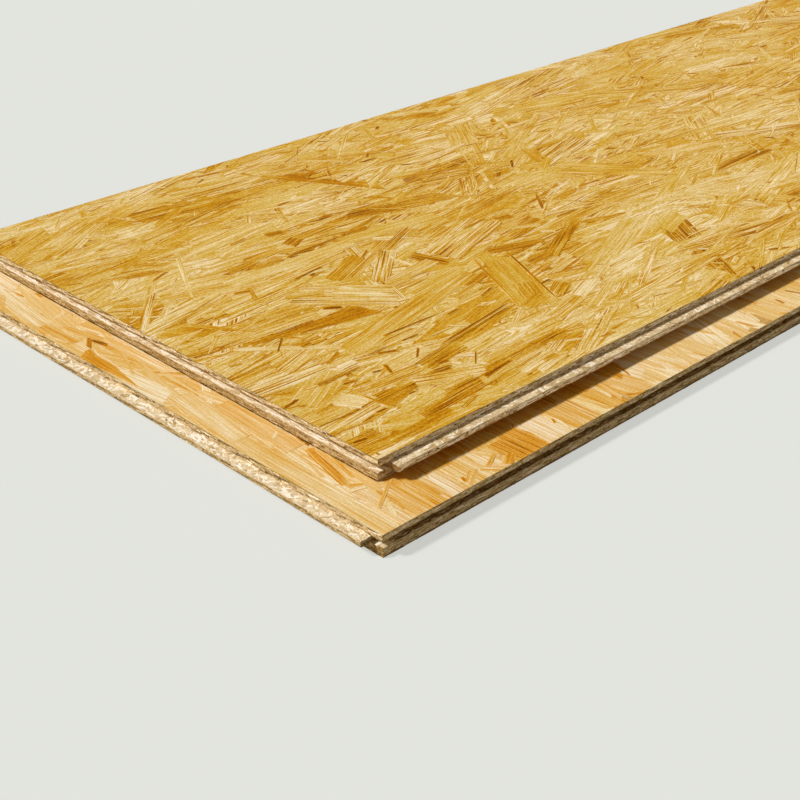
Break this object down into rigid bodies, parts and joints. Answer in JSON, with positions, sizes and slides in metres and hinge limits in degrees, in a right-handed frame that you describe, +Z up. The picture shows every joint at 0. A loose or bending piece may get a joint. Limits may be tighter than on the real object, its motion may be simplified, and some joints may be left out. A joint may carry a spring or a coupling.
{
  "type": "stack of osb panels",
  "caption": "Flat oriented strand board floor panels with tongue and groove on every edge, lying one on another with the upper set back from the corner.",
  "frame": {"origin": "on the floor under the middle of the stack's outline", "axes": "+X along the panels' length, +Y across their width, +Z up"},
  "size_m": [2.576, 0.735, 0.044],
  "materials": {
    "straw_strand_board": "pressed strands, waxed and lightly satin, milled edges raw",
    "honey_strand_board": "pressed strands, waxed and lightly satin, milled edges raw"
  },
  "bodies": {
    "root": {"lower_panel": "straw_strand_board", "upper_panel": "honey_strand_board"}
  },
  "joints": []
}
